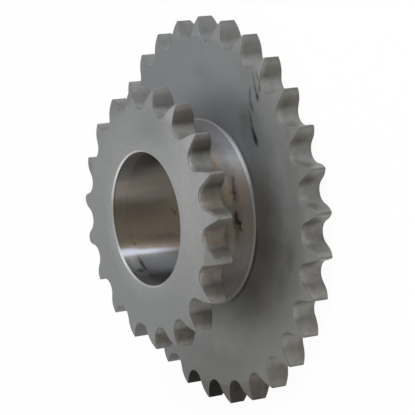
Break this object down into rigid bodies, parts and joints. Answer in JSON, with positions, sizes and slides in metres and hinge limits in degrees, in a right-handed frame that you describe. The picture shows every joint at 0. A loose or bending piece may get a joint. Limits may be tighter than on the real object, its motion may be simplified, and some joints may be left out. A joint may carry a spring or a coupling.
{
  "type": "chain sprocket",
  "caption": "Stepped chain sprocket: a small and a large toothed wheel on one plain round hub, with a wide smooth bore right through.",
  "frame": {"origin": "on the bore's axis, in the flat back face of the large wheel, on which the sprocket lies", "axes": "+Z along the bore, from the large wheel to the small one; +X through the middle of a tooth gap of the small wheel; +Y completes the right-handed frame"},
  "size_m": [0.2484, 0.2483, 0.0606],
  "materials": {
    "machined_steel": "machined, satin grey, with an oily brown tint in the tooth gaps and a few rust stains"
  },
  "bodies": {
    "root": {"compound_sprocket": "machined_steel"}
  },
  "joints": []
}
